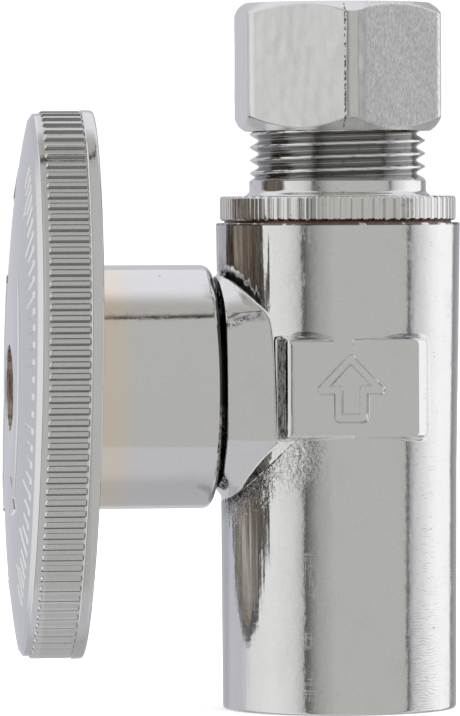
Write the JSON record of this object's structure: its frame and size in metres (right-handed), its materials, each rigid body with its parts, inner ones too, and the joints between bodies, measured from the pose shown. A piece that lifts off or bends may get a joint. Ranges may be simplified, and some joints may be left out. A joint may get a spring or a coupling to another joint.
{
  "type": "straight stop valve",
  "caption": "Chrome-plated quarter-turn straight stop valve with an oval side handle, a solder inlet socket and a compression outlet nut.",
  "frame": {"origin": "centre of the inlet socket's mouth, on the valve's flat bottom face", "axes": "+Z along the waterway from inlet to outlet; the stem and handle point along -X; the marking pad with the flow arrow faces -Y"},
  "size_m": [0.0369, 0.0214, 0.0575],
  "materials": {
    "chrome_body": "polished",
    "chrome_handle": "polished",
    "chrome_nut": "satin",
    "chrome_ball": "polished",
    "brass": "satin",
    "copper_ring": "satin",
    "steel": "satin",
    "white_seat": "satin",
    "black_rubber": "matte"
  },
  "bodies": {
    "valve": {"valve_body": "chrome_body", "outlet_adapter": "chrome_body", "adapter_seal_ring": "copper_ring", "adapter_o_ring": "black_rubber", "inlet_seat": "white_seat", "outlet_seat": "white_seat", "seat_backing_o_ring": "black_rubber", "stem_thrust_washer": "white_seat"},
    "handle_stem": {"handle": "chrome_handle", "handle_screw": "steel", "screw_lock_washer": "steel", "stop_plate": "steel", "stem": "brass", "stem_o_ring_inner": "black_rubber", "stem_o_ring_outer": "black_rubber", "ball": "chrome_ball"},
    "sleeve": {"compression_sleeve": "brass"},
    "nut": {"compression_nut": "chrome_nut"}
  },
  "joints": [
    {"name": "handle_turn", "type": "hinge", "parent": "valve", "child": "handle_stem", "pos_m": [0, 0, 0.0263], "axis": [1, 0, 0], "range_deg": [0, 90]},
    {"name": "nut_advance", "type": "slide", "parent": "valve", "child": "sleeve", "axis": [0, 0, 1], "range_m": [-0.00144, 0.00334]},
    {"name": "nut_spin", "type": "hinge", "parent": "sleeve", "child": "nut", "pos_m": [0, 0, 0.05], "axis": [0, 0, 1], "range_deg": [-490, 1135]}
  ],
  "couplings": [
    {"joint": "nut_advance", "follows": "nut_spin", "m_per_rad": 0.00016844}
  ]
}
